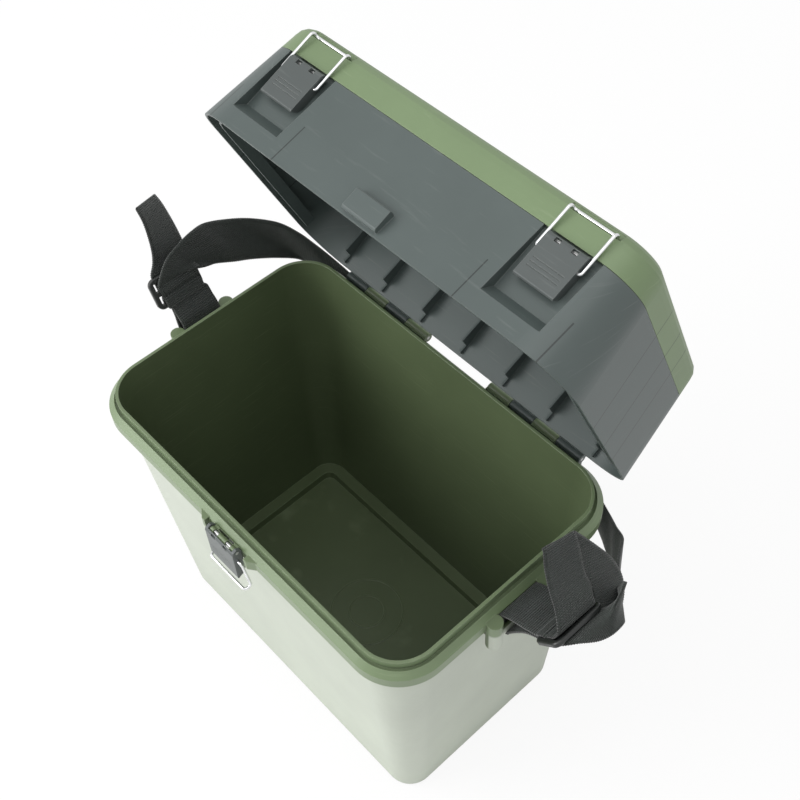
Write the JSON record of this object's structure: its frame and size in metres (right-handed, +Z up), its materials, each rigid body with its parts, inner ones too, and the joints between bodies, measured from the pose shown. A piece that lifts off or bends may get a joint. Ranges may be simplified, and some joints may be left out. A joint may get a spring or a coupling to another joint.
{
  "type": "fishing seat box",
  "caption": "Tapered tackle bin with a hinged seat lid that holds a tray under a second hinged cap, wire-bail latches and a webbing shoulder strap.",
  "frame": {"origin": "centre of the bin's underside", "axes": "+Z up, +X along the box to the right as seen from the front latch, -Y to the front, hinge at +Y"},
  "size_m": [0.5314, 0.3397, 0.5355],
  "materials": {
    "bin_green": "satin moulded",
    "cap_green": "satin moulded",
    "lid_grey": "satin moulded",
    "latch_grey": "satin moulded",
    "slider_plastic": "satin moulded",
    "wire_chrome": "polished wire",
    "pin_steel": "drawn",
    "webbing": "ribbed webbing"
  },
  "bodies": {
    "bin": {"bin": "bin_green", "lid_hinge_pins": "pin_steel", "latch_pin_front": "pin_steel", "strap_slider_right": "slider_plastic", "strap_slider_left": "slider_plastic", "strap_anchor_right": "webbing", "strap_anchor_left": "webbing", "strap_tail_right": "webbing", "strap_tail_left": "webbing", "strap_run_right": "webbing", "strap_run_left": "webbing", "strap_run_rear": "webbing"},
    "lid": {"lid_tray": "lid_grey", "cap_hinge_pins": "pin_steel", "lid_latch_pins": "pin_steel"},
    "seat_cap": {"seat_cap": "cap_green"},
    "lever_left": {"latch_lever_left": "latch_grey"},
    "bail_left": {"latch_bail_left": "wire_chrome"},
    "lever_right": {"latch_lever_right": "latch_grey"},
    "bail_right": {"latch_bail_right": "wire_chrome"},
    "lever_front": {"latch_lever_front": "latch_grey"},
    "bail_front": {"latch_bail_front": "wire_chrome"}
  },
  "joints": [
    {"name": "lid_hinge", "type": "hinge", "parent": "bin", "child": "lid", "pos_m": [0, 0.1243, 0.279], "axis": [1, 0, 0], "range_deg": [0, 66.3]},
    {"name": "seat_cap_hinge", "type": "hinge", "parent": "lid", "child": "seat_cap", "pos_m": [0, 0.19124, 0.31931], "axis": [-1, 0, 0], "range_deg": [0, 95]},
    {"name": "lever_left_pivot", "type": "hinge", "parent": "lid", "child": "lever_left", "pos_m": [-0.126, 0.09598, 0.52388], "axis": [-1, 0, 0], "range_deg": [0, 115]},
    {"name": "bail_left_pivot", "type": "hinge", "parent": "lever_left", "child": "bail_left", "pos_m": [-0.126, 0.08676, 0.52126], "axis": [1, 0, 0], "range_deg": [0, 150]},
    {"name": "lever_right_pivot", "type": "hinge", "parent": "lid", "child": "lever_right", "pos_m": [0.126, 0.09598, 0.52388], "axis": [-1, 0, 0], "range_deg": [0, 115]},
    {"name": "bail_right_pivot", "type": "hinge", "parent": "lever_right", "child": "bail_right", "pos_m": [0.126, 0.08676, 0.52126], "axis": [1, 0, 0], "range_deg": [0, 150]},
    {"name": "lever_front_pivot", "type": "hinge", "parent": "bin", "child": "lever_front", "pos_m": [0, -0.1244, 0.28], "axis": [1, 0, 0], "range_deg": [-115, 0]},
    {"name": "bail_front_pivot", "type": "hinge", "parent": "lever_front", "child": "bail_front", "pos_m": [0, -0.1257, 0.2705], "axis": [-1, 0, 0], "range_deg": [-10, 185.77]}
  ],
  "couplings": [
    {"joint": "bail_left_pivot", "follows": "lever_left_pivot", "ratio": 1.3},
    {"joint": "bail_right_pivot", "follows": "lever_right_pivot", "ratio": 1.3}
  ]
}
